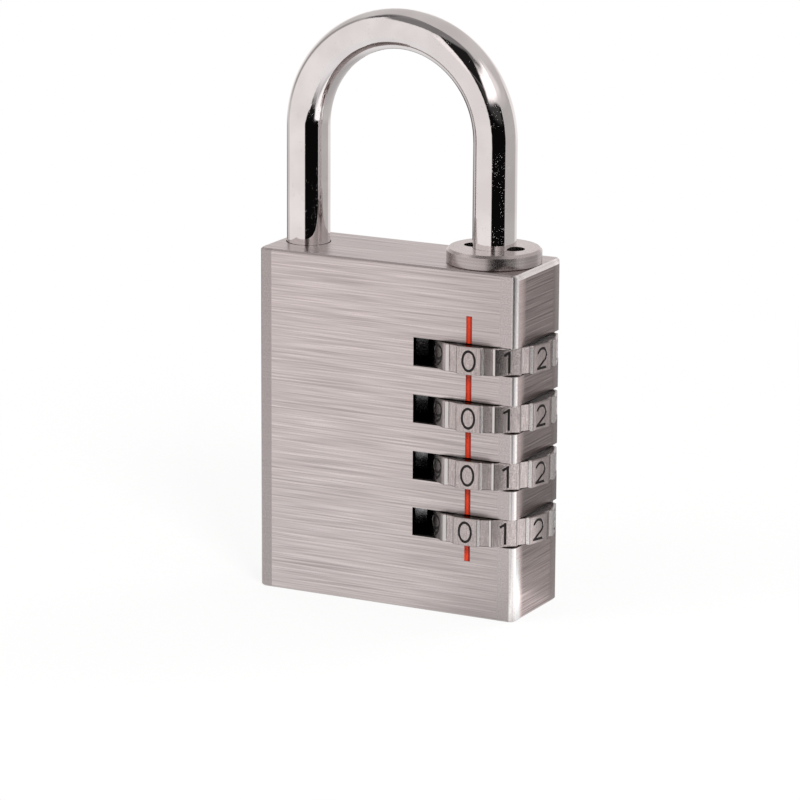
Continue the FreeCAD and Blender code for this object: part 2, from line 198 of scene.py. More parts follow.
studio = dict(
    greyRoom=0.72,
    tint=(1.0, 0.965, 0.958),
    # name, azimuth from and to, elevation from and to, softness of sides and ends, lean, tilt, level
    # lean moves the sides by that many degrees per degree of elevation, tilt the ends per degree of azimuth
    cards=[
        ("ceiling", -200, -8, 58, 95, 10.0, 3.0, 0, 0, 0.25),
        ("ceilingBack", 148, 200, 52, 95, 8.0, 6.0, 0, 0, 0.30),
        ("rightWall", -8, 62, -17, 17, 3.0, 4.0, 0, 0, 0.58),
        ("rearShade", 158, 175, -2, 42, 4.0, 5.0, 0, 0, 0.42),
        ("rearGap", 160, 178, 45, 64, 5.0, 5.0, 0, 0, 0.12),
        ("rightWhite", 60, 150, -12, 13, 6.0, 4.0, 0, 0, 1.05),
        ("rearFloor", 113, 152, -24, -10, 3.0, 2.5, 0, 0, 0.16),
        ("frontDark", -92, -10, -20, 17, 1.6, 2.0, 0, 0, 0.004),
        ("frontHaze", -76, -20, 4, 17, 5.0, 3.0, 0, 0, 0.055),
        ("lowerDark", -90, -12, -58, -17, 3.0, 3.0, 0, 0, 0.012),
        ("overBox", -60, -12, 46, 62, 9.0, 4.0, 0, 0, 0.17),
        ("upperDark", -110, -43, 17, 60, 3.0, 3.0, 0.75, 0, 0.016),
        ("boxHalo", -22, 26, 24, 46, 12.0, 5.0, 0, 0.1, 1.15),
        ("softBox", -50, -3, 20, 41, 4.0, 3.5, 0.65, 0.27, 1.75),
        ("lowerPatch", -46, 24, -62, -18.0, 3.5, 2.5, 0.75, 0, 1.15),
        ("patchGlow", -14, 11, -38, -20, 5.0, 4.0, 0.3, 0, 1.5),
        ("rightLow", 9, 112, -95, -14, 3.0, 2.0, 0, 0, 0.66),
        ("rightLowEdge", 9, 20, -62, -14, 2.5, 2.0, 0, 0, 0.48),
        ("leftPanel", -200, -82, -95, 58, 1.8, 3.0, 0, 0, 1.04),
        ("panelEdge", -93, -82, 12, 50, 2.0, 4.0, 0, 0, 1.28),
        ("leftFloor", -200, -64, -95, -22, 3.0, 2.0, 0, 0, 1.04),
        ("leftFloorTip", -200, -70, -25, -12.4, 2.0, 0.7, -1.8, 0, 1.04),
        ("leftPanelBack", 175, 200, -95, 50, 4.0, 4.0, 0, 0, 1.0),
    ],
)


def slantNode(tree, x, y, angle, other, middle, slope):
    # the angle, moved in step with how far the other angle is from its middle
    if not slope:
        return angle
    shift = productNode(tree, x, y, mathNode(tree, x - 100, y, "SUBTRACT", other, middle), slope)
    return mathNode(tree, x + 100, y, "SUBTRACT", angle, shift)


def cardMask(tree, x, y, azimuth, elevation, card):
    name, fromAz, toAz, fromEl, toEl, softAz, softEl, lean, tilt, level = card
    sideways = slantNode(tree, x - 300, y, azimuth, elevation, (fromEl + toEl) / 2, lean)
    upwards = slantNode(tree, x - 300, y - 300, elevation, azimuth, (fromAz + toAz) / 2, tilt)
    wide = bandNode(tree, x, y, sideways, fromAz, toAz, softAz, softAz)
    tall = bandNode(tree, x, y - 360, upwards, fromEl, toEl, softEl, softEl)
    return mathNode(tree, x + 360, y, "MULTIPLY", wide, tall)


def addWorld(setup):
    world = bpy.data.worlds.new("studioRoom")
    scene.world = world
    world.use_nodes = True
    tree = world.node_tree
    tree.nodes.clear()
    coords = addNode(tree, "ShaderNodeTexCoord", -2400, 0)
    axes = axesNode(tree, -2200, 0, coords.outputs["Generated"])
    azimuth = azimuthNode(tree, -2000, 0, axes)
    rise = mathNode(tree, -2000, -300, "ARCSINE", axes["Z"])
    elevation = mathNode(tree, -1850, -300, "MULTIPLY", rise, degreesPerRadian)
    level = setup["greyRoom"]
    for n, card in enumerate(setup["cards"]):
        mask = cardMask(tree, 300 * n - 1300, -800, azimuth, elevation, card)
        level = mixFloat(tree, 300 * n - 700, 0, mask, level, card[-1])
    tinted = addNode(tree, "ShaderNodeVectorMath", 6300, 0, operation="SCALE")
    tinted.inputs[0].default_value = setup["tint"]
    join(tree, level, tinted.inputs["Scale"])
    path = addNode(tree, "ShaderNodeLightPath", 6100, 400)
    seen = mathNode(tree, 6300, 400, "MAXIMUM", path.outputs["Is Camera Ray"], path.outputs["Is Transmission Ray"])
    colour = mixColour(tree, 6500, 0, seen, tinted.outputs[0], (1.0, 1.0, 1.0, 1.0))
    background = addNode(tree, "ShaderNodeBackground", 6700, 0)
    join(tree, colour, background.inputs["Color"])
    output = addNode(tree, "ShaderNodeOutputWorld", 6900, 0)
    join(tree, background.outputs[0], output.inputs["Surface"])


floorSetup = dict(
    radius=300.0,                    # mm
    drop=0.02,                       # mm below the lock
    fade=(0.05, 0.16),               # m from the lock's centre, where the paper gives way to the room
    showShadow=0.16,                 # share of the real light and shade that the camera sees
    paper=(0.90, 0.93),
    paperGrain=900.0,
    shadeDirection=(0.86, 0.5, 0.0),    # painted shade: the side away from the lamps is darker, as metal sees it
    shadeFrom=(-0.01, 0.03),         # m along that direction
    shadeLevel=0.42,
    poolAngle=(-36.0, 16.0, 7.0),    # degrees round the lock, the painted pool of light that its metal mirrors, and softness
    poolReach=(0.024, 0.205),        # m from the lock's centre
    poolSoft=(0.006, 0.02),
    poolLevel=1.45,
)


def floorMaterial(setup):
    material = bpy.data.materials.new("paperFloor")
    material.use_nodes = True
    tree = material.node_tree
    tree.nodes.clear()
    place = addNode(tree, "ShaderNodeTexCoord", -2000, 0).outputs["Object"]
    path = addNode(tree, "ShaderNodeLightPath", -1000, 600).outputs
    distance = vectorNode(tree, -1200, 200, "LENGTH", place)
    along = vectorNode(tree, -1200, -200, "DOT_PRODUCT", place, setup["shadeDirection"])
    # painted shade on the floor's far side, seen only by mirrored rays
    paintedFloorShade = rangeNode(tree, -1000, -200, along, *setup["shadeFrom"], 1.0, setup["shadeLevel"])
    # painted pool of light on the floor, seen only by mirrored rays
    angle = azimuthNode(tree, -1650, 900, axesNode(tree, -1800, 900, place))
    poolFrom, poolTo, poolBlur = setup["poolAngle"]
    poolWide = bandNode(tree, -1450, 1000, angle, poolFrom, poolTo, poolBlur, poolBlur)
    poolLong = bandNode(tree, -1450, 600, distance, *setup["poolReach"], *setup["poolSoft"])
    paintedLightPool = productNode(tree, -1200, 900, poolWide, poolLong, path["Is Glossy Ray"])
    fade = rangeNode(tree, -1000, 200, distance, *setup["fade"])
    fade = mathNode(tree, -800, 200, "MULTIPLY", fade, mathNode(tree, -900, 900, "SUBTRACT", 1.0, paintedLightPool))
    grain = noiseNode(tree, -1000, -400, place, setup["paperGrain"], 3.0, 0.6)
    diffuse = addNode(tree, "ShaderNodeBsdfDiffuse", -400, -300)
    join(tree, rangeNode(tree, -800, -400, grain, 0.3, 0.7, *setup["paper"]), diffuse.inputs["Color"])
    level = mixFloat(tree, -700, 0, path["Is Glossy Ray"], 1.0, paintedFloorShade)
    level = mixFloat(tree, -600, 0, paintedLightPool, level, setup["poolLevel"])
    white = addNode(tree, "ShaderNodeEmission", -400, 0)
    white.inputs["Color"].default_value = (1.0, 1.0, 1.0, 1.0)
    join(tree, level, white.inputs["Strength"])
    direct = mathNode(tree, -800, 500, "MAXIMUM", path["Is Camera Ray"], path["Is Glossy Ray"])
    direct = mathNode(tree, -600, 500, "MAXIMUM", direct, path["Is Transmission Ray"])
    lit = addNode(tree, "ShaderNodeMixShader", -100, 0)
    join(tree, mathNode(tree, -400, 500, "MULTIPLY", direct, 1 - setup["showShadow"]), lit.inputs[0])
    join(tree, diffuse.outputs[0], lit.inputs[1])
    join(tree, white.outputs[0], lit.inputs[2])
    clear = addNode(tree, "ShaderNodeBsdfTransparent", -100, -200)
    edge = addNode(tree, "ShaderNodeMixShader", 150, 0)
    join(tree, fade, edge.inputs[0])
    join(tree, lit.outputs[0], edge.inputs[1])
    join(tree, clear.outputs[0], edge.inputs[2])
    output = addNode(tree, "ShaderNodeOutputMaterial", 350, 0)
    join(tree, edge.outputs[0], output.inputs["Surface"])
    return material


def addFloor(setup):
    bm = bmesh.new()
    bmesh.ops.create_circle(bm, cap_ends=True, segments=96, radius=setup["radius"] * mm)
    mesh = bpy.data.meshes.new("paperFloor")
    bm.to_mesh(mesh)
    bm.free()
    floor = bpy.data.objects.new("paperFloor", mesh)
    floor.location.z = -setup["drop"] * mm
    scene.collection.objects.link(floor)
    mesh.materials.append(floorMaterial(setup))


lampColour = (1.0, 0.98, 0.97)
lampAim = (0.0, 0.0, 0.03)   # m
lampSetup = [
    # name, place in m, size in m, watts
    ("keyLamp", (0.62, -0.62, 0.55), 0.25, 6.0),
    ("leftLamp", (-0.75, -0.85, 0.75), 0.55, 3.0),
    ("rearLamp", (0.5, 0.9, 0.8), 0.5, 3.0),
]


def addLamps(lamps):
    for name, place, size, watts in lamps:
        data = bpy.data.lights.new(name, "AREA")
        data.shape = "SQUARE"
        data.size = size
        data.energy = watts
        data.color = lampColour
        lamp = bpy.data.objects.new(name, data)
        lamp.location = place
        lamp.rotation_euler = (Vector(lampAim) - Vector(place)).to_track_quat("-Z", "Y").to_euler()
        lamp.visible_glossy = False
        scene.collection.objects.link(lamp)


addWorld(studio)
addFloor(floorSetup)
addLamps(lampSetup)
scene.view_settings.view_transform = "Standard"
print("studio set")


# shared effects

brushLines = dict(
    stray=(30.0, 0.00016),          # scale, and m that the lines stray to the side
    # stretch of the noise along and across the lines
    sets=(0.6, 0.31, 1.0),
    bands=(0.3, 0.07, 1.0),
    cuts=(0.5, 1.15, 1.0),
    glints=(0.5, 0.9, 3.0),
    setsShare=0.14,
    bandsShare=0.05,
    darkLines=(0.18, 0.24, 0.36),   # noise below which one shows, and its depth
    brightLines=(0.76, 0.84, 0.3),
)


def brushGrainGroup(setup):
    # long hairlines; Position has x along the strokes and y across them
    inputs = [
        ("Position", "NodeSocketVector", None),
        ("Along", "NodeSocketFloat", 60.0),
        ("Across", "NodeSocketFloat", 4200.0),
        ("Contrast", "NodeSocketFloat", 1.0),
    ]
    group, given, result = newGroup("brushGrain", inputs, ["Streaks"])
    axes = axesNode(group, -1200, 0, given["Position"])
    strayScale, strayReach = setup["stray"]
    wobble = noiseNode(group, -1200, -500, given["Position"], strayScale, 1.0)
    lean = mathNode(group, -1000, -500, "MULTIPLY", wobble, strayReach)
    across = mathNode(group, -800, -200, "ADD", axes["Y"], lean)
    strokes = addNode(group, "ShaderNodeCombineXYZ", -500, 200)
    join(group, mathNode(group, -700, 300, "MULTIPLY", axes["X"], given["Along"]), strokes.inputs["X"])
    join(group, mathNode(group, -700, 100, "MULTIPLY", across, given["Across"]), strokes.inputs["Y"])
    join(group, axes["Z"], strokes.inputs["Z"])

    def layer(y, stretch, detail, roughness=0.5):
        place = vectorNode(group, -300, y, "MULTIPLY", strokes.outputs[0], stretch)
        return noiseNode(group, -100, y, place, 1.0, detail, roughness)

    hairs = noiseNode(group, -100, 400, strokes.outputs[0], 1.0, 2.0, 0.6)
    hairs = rangeNode(group, 100, 400, hairs, 0.30, 0.70, smooth=False)
    sets = rangeNode(group, 100, 200, layer(200, setup["sets"], 2.0, 0.55), 0.28, 0.72, smooth=False)
    bands = rangeNode(group, 100, 0, layer(0, setup["bands"], 2.0), 0.3, 0.7)
    tone = mixFloat(group, 300, 300, setup["setsShare"], hairs, sets)
    tone = mixFloat(group, 400, 300, setup["bandsShare"], tone, bands)
    cutFrom, cutTo, cutDepth = setup["darkLines"]
    darkLines = rangeNode(group, 100, -300, layer(-300, setup["cuts"], 0.0), cutFrom, cutTo, cutDepth, 0.0)
    glintFrom, glintTo, glintRise = setup["brightLines"]
    brightLines = rangeNode(group, 100, -500, layer(-500, setup["glints"], 0.0), glintFrom, glintTo, 0.0, glintRise)
    tone = mathNode(group, 500, 0, "SUBTRACT", tone, darkLines)
    tone = mathNode(group, 600, 0, "ADD", tone, brightLines)
    tone = mathNode(group, 700, 0, "SUBTRACT", tone, 0.5)
    tone = mathNode(group, 800, 0, "MULTIPLY", tone, given["Contrast"])
    join(group, mathNode(group, 900, 0, "ADD", tone, 0.5), result["Streaks"])
    return group


def fineGrainGroup():
    # plated skin: a tiny grain, pits and a slow change of tone
    inputs = [
        ("Position", "NodeSocketVector", None),
        ("Size", "NodeSocketFloat", 5200.0),
        ("Pits", "NodeSocketFloat", 0.5),
    ]
    group, given, result = newGroup("fineGrain", inputs, ["Grain", "Cloud", "Pitted"])
    cloudSize = mathNode(group, -1100, 0, "MULTIPLY", given["Size"], 0.035)
    pitSize = mathNode(group, -1100, -300, "MULTIPLY", given["Size"], 0.32)
    grain = noiseNode(group, -900, 300, given["Position"], given["Size"], 2.0, 0.7)
    cloud = noiseNode(group, -900, 0, given["Position"], cloudSize, 3.0, 0.5)
    spots = noiseNode(group, -900, -300, given["Position"], pitSize, 1.0)
    pits = rangeNode(group, -700, -300, spots, 0.66, 0.74)
    join(group, rangeNode(group, -600, 300, grain, 0.25, 0.75), result["Grain"])
    join(group, rangeNode(group, -600, 0, cloud, 0.3, 0.7), result["Cloud"])
    join(group, mathNode(group, -400, -300, "MULTIPLY", pits, given["Pits"]), result["Pitted"])
    return group


def latheMarksGroup():
    # rings left by the lathe round an upright axis
    inputs = [
        ("Position", "NodeSocketVector", None),
        ("Centre", "NodeSocketVector", None),
        ("Pitch", "NodeSocketFloat", 5200.0),
    ]
    group, given, result = newGroup("latheMarks", inputs, ["Marks"])
    local = vectorNode(group, -1200, 0, "SUBTRACT", given["Position"], given["Centre"])
    radius = vectorNode(group, -600, 0, "LENGTH", vectorNode(group, -800, 0, "MULTIPLY", local, (1.0, 1.0, 0.0)))
    height = axesNode(group, -1000, 0, local)["Z"]
    rings = addNode(group, "ShaderNodeCombineXYZ", -200, 0)
    join(group, mathNode(group, -400, 100, "MULTIPLY", radius, given["Pitch"]), rings.inputs["X"])
    join(group, mathNode(group, -400, -100, "MULTIPLY", height, given["Pitch"]), rings.inputs["Y"])
    marks = noiseNode(group, 0, 100, rings.outputs[0], 1.0, 3.0, 0.6)
    join(group, rangeNode(group, 300, 100, marks, 0.3, 0.7), result["Marks"])
    return group


brushGrain = brushGrainGroup(brushLines)
fineGrain = fineGrainGroup()
latheMarks = latheMarksGroup()


def newMaterial(name):
    material = bpy.data.materials.new(name)
    material.use_nodes = True
    tree = material.node_tree
    tree.nodes.clear()
    output = addNode(tree, "ShaderNodeOutputMaterial", 900, 0)
    shader = addNode(tree, "ShaderNodeBsdfPrincipled", 600, 0)
    join(tree, shader.outputs[0], output.inputs["Surface"])
    coords = addNode(tree, "ShaderNodeTexCoord", -2700, 0)
    return material, tree, shader, coords.outputs


def bumpNode(tree, x, y, height, strength, distance, normal=None):
    bump = addNode(tree, "ShaderNodeBump", x, y)
    feed(tree, bump.inputs["Height"], height)
    bump.inputs["Strength"].default_value = strength
    bump.inputs["Distance"].default_value = distance
    if normal is not None:
        join(tree, normal, bump.inputs["Normal"])
    return bump.outputs[0]


# case: solid block, brushed on its flat faces, with a smooth skin towards the upright corners

brushedCase = dict(
    dark=(0.385, 0.340, 0.334, 1.0),
    light=(0.715, 0.645, 0.634, 1.0),
    roughness=(0.24, 0.38),
    along=60.0,
    across=4200.0,
    bump=(0.5, 0.008),                  # strength, and depth in mm
    squareOn=(0.6, 0.9),                # how squarely a face looks along an axis to count as a side or the top
    frontSquareOn=(0.9, 0.99),
    frontStretch=(-17.95, 17.4, 0.06),  # mm along X, the brushed stretch of the front and back, and its softness
    sideStretch=(4.4, 0.5),             # mm, half the brushed stretch of the narrow sides, and its softness
    sideContrast=1.8,
    skin=(0.37, 0.332, 0.328, 1.0),     # the smooth strips beside the brushed stretch
    skinStreaks=0.3,                    # share of the brush lines in their tone
    skinLight=0.55,
    skinRoughness=0.27,
    skinGrain=0.12,
    leftSkin=(0.80, -18.1, -17.5),      # tone of the strip along the left corner, mm between which it ends
    rightTone=(0.86, -2.0, 16.0),       # tone of the front's right part, mm between which it sets in
    sideTint=(1.0, 0.93, 0.915, 1.0),
    sidePaintedLight=(0.92, 0.40, 3.0, 17.0),   # painted shade of the narrow sides, tone at the foot and up high, mm where it changes
    sideEdgeHighlight=(3.6, 1.0, 3.2),           # painted highlight, how much brighter they are at their front edges, mm from the front
    cornerHighlight=(0.93, 0.89, 0.88, 1.0),       # painted highlight on the upright corners
    cornerHighlightGrain=0.7975,                   # tone of the grain in them
    cornerHighlightRounding=(0.14, 0.34),          # how far the surface has turned where that sets in
    cornerHighlightFrom=2.0,                       # mm, half the stretch round the middle where it sets in, to the right
    corner=1.0,                         # mm, radius of the upright corners
    roll=(2.4, 0.30),                   # mm and slope, how the narrow sides roll off to the corners
    # painted shade inside slots and bores
    inside=(0.002, 0.0018, 0.0018, 1.0),
    insideRoughness=0.8,
    shade=(0.08, 0.9),                  # mm below the outside, where the painted shade of slots and bores sets in
)


def caseMaterial(setup):
    material, tree, shader, coords = newMaterial("brushedCase")
    halfWidth, halfDepth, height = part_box("case")[1]
    place = axesNode(tree, -2400, 200, coords["Object"])
    facing = axesNode(tree, -2400, -200, coords["Normal"])
    sideways = mathNode(tree, -2200, -100, "ABSOLUTE", facing["X"])
    frontways = mathNode(tree, -2200, -250, "ABSOLUTE", facing["Y"])
    upwards = mathNode(tree, -2200, -400, "ABSOLUTE", facing["Z"])
    side = rangeNode(tree, -2000, -100, sideways, *setup["squareOn"])
    top = rangeNode(tree, -2000, -400, upwards, *setup["squareOn"])
    fromMiddle = mathNode(tree, -2200, 400, "ABSOLUTE", place["Y"])
    fromCentre = mathNode(tree, -2200, 550, "ABSOLUTE", place["X"])

    # brushed stretches
    stretchFrom, stretchTo, stretchSoft = (value * mm for value in setup["frontStretch"])
    stretch = bandNode(tree, -1800, -600, place["X"], stretchFrom, stretchTo, stretchSoft, stretchSoft)
    flatFront = rangeNode(tree, -1800, -450, frontways, *setup["frontSquareOn"])
    flatFront = productNode(tree, -1600, -600, flatFront, stretch)
    sideReach, sideSoft = setup["sideStretch"]
    sideStop = stepNode(tree, -1800, -900, fromMiddle, sideReach * mm, sideSoft * mm, 1.0, 0.0)
    flatSide = mathNode(tree, -1600, -800, "MULTIPLY", side, sideStop)
    brushed = mathNode(tree, -1500, -650, "MAXIMUM", flatFront, flatSide)
    brushed = mathNode(tree, -1400, -700, "MAXIMUM", brushed, top)

    # strokes run along X on the front and the top, along Y on the narrow sides
    strokes = addNode(tree, "ShaderNodeCombineXYZ", -1600, 100)
    join(tree, mixFloat(tree, -1800, 200, side, place["X"], place["Y"]), strokes.inputs["X"])
    join(tree, mixFloat(tree, -1800, 0, top, place["Z"], place["Y"]), strokes.inputs["Y"])
    join(tree, mathNode(tree, -1800, -200, "MULTIPLY", side, 3.0), strokes.inputs["Z"])
    contrast = mixFloat(tree, -1600, 300, side, 1.0, setup["sideContrast"])
    brush = placeGroup(tree, brushGrain, -1400, 200, Position=strokes.outputs[0], Along=setup["along"],
                       Across=setup["across"], Contrast=contrast)
    streaks = brush.outputs["Streaks"]
    grain = placeGroup(tree, fineGrain, -1400, -200, Position=coords["Object"]).outputs["Grain"]

    # depth below the outside
    depthX = mathNode(tree, -1400, 900, "SUBTRACT", halfWidth, fromCentre)
    depthY = mathNode(tree, -1400, 750, "SUBTRACT", halfDepth, fromMiddle)
    depthTop = mathNode(tree, -1400, 600, "SUBTRACT", height, place["Z"])
    depthZ = mathNode(tree, -1200, 600, "MINIMUM", depthTop, place["Z"])
    depth = mathNode(tree, -1200, 800, "MINIMUM", depthX, depthY)
    depth = mathNode(tree, -1100, 700, "MINIMUM", depth, depthZ)
    shadeFrom, shadeTo = setup["shade"]
    deepShade = rangeNode(tree, -900, 700, depth, shadeFrom * mm, shadeTo * mm)

    # brushed metal and the smooth strips
    colour = mixColour(tree, -800, 200, streaks, setup["dark"], setup["light"])
    skinTone = mixFloat(tree, -1000, 0, setup["skinStreaks"], grain, streaks)
    skinTone = mathNode(tree, -950, 0, "MULTIPLY", skinTone, setup["skinLight"])
    skinColour = mixColour(tree, -800, 0, skinTone, setup["skin"], setup["light"])
    leftTone, leftFrom, leftTo = setup["leftSkin"]
    duller = rangeNode(tree, -1000, 500, place["X"], leftFrom * mm, leftTo * mm, leftTone, 1.0)
    skinColour = shadeNode(tree, -650, 0, skinColour, duller)
    colour = mixColour(tree, -500, 200, brushed, skinColour, colour)
    rightTone, rightFrom, rightTo = setup["rightTone"]
    rightward = rangeNode(tree, -1000, 650, place["X"], rightFrom * mm, rightTo * mm, 1.0, rightTone)
    colour = shadeNode(tree, -450, 500, colour, mixFloat(tree, -600, 600, flatFront, 1.0, rightward))

    # narrow sides: painted shade, darker up high, and a painted highlight along their front edges
    footTone, highTone, footTop, highFrom = setup["sidePaintedLight"]
    sidePaintedLight = rangeNode(tree, -1000, 350, place["Z"], footTop * mm, highFrom * mm, footTone, highTone)
    edgeHighlightTone, edgeFrom, edgeTo = setup["sideEdgeHighlight"]
    fromFront = mathNode(tree, -1200, 1250, "ADD", place["Y"], halfDepth)
    edgeHighlight = rangeNode(tree, -1000, 1250, fromFront, edgeFrom * mm, edgeTo * mm, edgeHighlightTone, 1.0)
    sidePaintedLight = mathNode(tree, -800, 400, "MULTIPLY", sidePaintedLight, edgeHighlight)
    colour = shadeNode(tree, -400, 350, colour, mixFloat(tree, -600, 350, side, 1.0, sidePaintedLight))
    colour = mixColour(tree, -380, 450, side, colour, shadeNode(tree, -500, 450, colour, setup["sideTint"]))

    # painted highlight on the upright corners to the right, and painted shade in slots and bores
    rounding = mathNode(tree, -950, 1100, "ADD", frontways, upwards)
    rounding = mathNode(tree, -800, 1100, "MULTIPLY", sideways, rounding)
    rightHalf = stepNode(tree, -700, 1300, place["X"], 0.0, setup["cornerHighlightFrom"] * mm)
    cornerHighlightMask = productNode(tree, -500, 1200, rangeNode(tree, -600, 1100, rounding, *setup["cornerHighlightRounding"]), rightHalf)
    highlightGrainTone = rangeNode(tree, -550, 1050, grain, 0.0, 1.0, 1.0, setup["cornerHighlightGrain"], False)
    colour = mixColour(tree, -350, 500, cornerHighlightMask, colour, shadeNode(tree, -400, 650, setup["cornerHighlight"], highlightGrainTone))
    colour = mixColour(tree, -300, 200, deepShade, colour, setup["inside"])
    join(tree, colour, shader.inputs["Base Color"])

    low, high = setup["roughness"]
    rough = rangeNode(tree, -800, -300, streaks, 0.0, 1.0, high, low, False)
    rough = mixFloat(tree, -500, -300, brushed, setup["skinRoughness"], rough)
    join(tree, mixFloat(tree, -300, -300, deepShade, rough, setup["insideRoughness"]), shader.inputs["Roughness"])

    # the narrow sides roll off towards the corners
    reach, slope = setup["roll"]
    corner = setup["corner"]
    edgeGap = mathNode(tree, -1400, -1000, "SUBTRACT", halfDepth, fromMiddle)
    edgeGap = mathNode(tree, -1350, -1100, "MAXIMUM", edgeGap, corner * mm)
    inRoll = mathNode(tree, -1300, -1000, "SUBTRACT", reach * mm, edgeGap)
    inRoll = mathNode(tree, -1200, -1000, "MAXIMUM", inRoll, 0.0)
    squared = mathNode(tree, -1100, -1000, "MULTIPLY", inRoll, inRoll)
    squared = mathNode(tree, -1050, -1100, "SUBTRACT", squared, ((reach - corner) * mm) ** 2)
    fall = productNode(tree, -1000, -1000, squared, -slope / (2 * reach * mm), side)
    rolled = bumpNode(tree, -700, -1000, fall, 1.0, 1.0)
    skinHeight = mathNode(tree, -900, -600, "MULTIPLY", grain, setup["skinGrain"])
    lines = mixFloat(tree, -700, -600, brushed, skinHeight, streaks)
    strength, lineDepth = setup["bump"]
    join(tree, bumpNode(tree, -400, -600, lines, strength, lineDepth * mm, rolled), shader.inputs["Normal"])
    shader.inputs["Metallic"].default_value = 1.0
    return material


# shackle: bright nickel over polished steel

polishedShackle = dict(
    dark=(0.66, 0.625, 0.62, 1.0),
    light=(0.76, 0.73, 0.725, 1.0),
    roughness=(0.02, 0.045),
    speckRoughness=0.3,
    grain=(3600.0, 0.3),        # size and pits
    wave=(260.0, 0.10, 0.05),   # scale, strength and depth in mm of the uneven polish
    specks=(6400.0, 0.68, 0.78, 0.5, 0.02),   # scale, noise where they show, strength and depth in mm
    patches=(260.0, 0.46, 0.66),              # scale and noise where specks gather
)


def shackleMaterial(setup):
    material, tree, shader, coords = newMaterial("polishedShackle")
    position = coords["Object"]
    grainSize, pits = setup["grain"]
    grain = placeGroup(tree, fineGrain, -700, 0, Position=position, Size=grainSize, Pits=pits).outputs
    waveScale, waveStrength, waveDepth = setup["wave"]
    wave = noiseNode(tree, -700, -300, position, waveScale, 2.0, 0.5)
    speckScale, speckFrom, speckTo, speckStrength, speckDepth = setup["specks"]
    dots = noiseNode(tree, -700, -500, position, speckScale, 1.0, 0.5)
    dots = rangeNode(tree, -500, -500, dots, speckFrom, speckTo)
    patchScale, patchFrom, patchTo = setup["patches"]
    patches = noiseNode(tree, -900, -700, position, patchScale, 1.0)
    patches = rangeNode(tree, -700, -700, patches, patchFrom, patchTo)
    specks = mathNode(tree, -400, -600, "MULTIPLY", dots, patches)
    tone = mathNode(tree, -400, 100, "SUBTRACT", grain["Cloud"], grain["Pitted"])
    join(tree, mixColour(tree, -100, 100, tone, setup["dark"], setup["light"]), shader.inputs["Base Color"])
    low, high = setup["roughness"]
    rough = rangeNode(tree, -300, -100, grain["Grain"], 0.0, 1.0, low, high, False)
    join(tree, mixFloat(tree, -100, -100, specks, rough, setup["speckRoughness"]), shader.inputs["Roughness"])
    polish = bumpNode(tree, 0, -300, wave, waveStrength, waveDepth * mm)
    join(tree, bumpNode(tree, 200, -300, specks, speckStrength, speckDepth * mm, polish), shader.inputs["Normal"])
    shader.inputs["Metallic"].default_value = 1.0
    return material


# collar: turned and plated

heelAxis = Vector((13.06, 0.0, 0.0)) * mm   # the dials, the collar and the long leg share it

turnedCollar = dict(
    dark=(0.35, 0.312, 0.306, 1.0),
    light=(0.46, 0.415, 0.408, 1.0),
    roughness=(0.20, 0.30),
    top=1.5,                    # painted light, the flat top is brighter than the side
    bump=0.06,
)


def turnedMaterial(name, setup):
    material, tree, shader, coords = newMaterial(name)
    marks = placeGroup(tree, latheMarks, -500, 100, Position=coords["Object"], Centre=heelAxis).outputs["Marks"]
    grain = placeGroup(tree, fineGrain, -500, -200, Position=coords["Object"]).outputs
    tone = mixFloat(tree, -200, 100, 0.35, marks, grain["Cloud"])
    colour = mixColour(tree, 100, 100, tone, setup["dark"], setup["light"])
    if "top" in setup:
        # painted light on the flat top
        facing = axesNode(tree, -500, 500, coords["Normal"])
        topLight = rangeNode(tree, -200, 500, facing["Z"], 0.5, 0.9, 1.0, setup["top"])
        colour = shadeNode(tree, 300, 300, colour, topLight)
    join(tree, colour, shader.inputs["Base Color"])
    low, high = setup["roughness"]
    join(tree, rangeNode(tree, 200, -100, grain["Grain"], 0.0, 1.0, low, high, False), shader.inputs["Roughness"])
    join(tree, bumpNode(tree, 200, -300, marks, setup["bump"], 0.006 * mm), shader.inputs["Normal"])
    shader.inputs["Metallic"].default_value = 1.0
    return material


# dials: plated rings

platedDial = dict(
    dark=(0.29, 0.25, 0.243, 1.0),
    light=(0.595, 0.528, 0.517, 1.0),
    roughness=(0.12, 0.22),
    grain=5200.0,
    specks=(7000.0, 0.55, 0.8, 0.01),   # size, share in the tone, strength and depth in mm
    ends=0.35,                          # painted shade of the flat top and underside
    recess=(0.12, 2.4),                 # painted shade in tight places, its tone and how far they reach, mm
    recessOpen=(0.12, 0.55),            # share of open surroundings over which that painted shade fades
    flankHighlightColour=(0.60, 0.57, 0.56, 1.0),      # painted highlight on the flutes' flanks
    wallsTurn=(0.72, 0.9),              # how squarely a face looks outward, where it stops being a flank
    creaseShadeLine=(8.386, 8.44, 0.3),        # radii of the painted shade line at their foot, mm, and its tone
    footSoft=(0.006, 0.02),
    rimLine=(8.985, 0.01, 0.5),         # radius from which the pads' edges are dark and softness, mm, and their tone
    window=(8.9, 9.9, 0.26),            # mm along X, the part behind the front face's window, and its tone
    fluteRadius=8.6,                    # mm, flutes lie inside it and the numbered pads outside
    padCrown=0.042,                     # per mm, how the pads bulge and the flutes hollow
    fluteHollow=0.03,
)


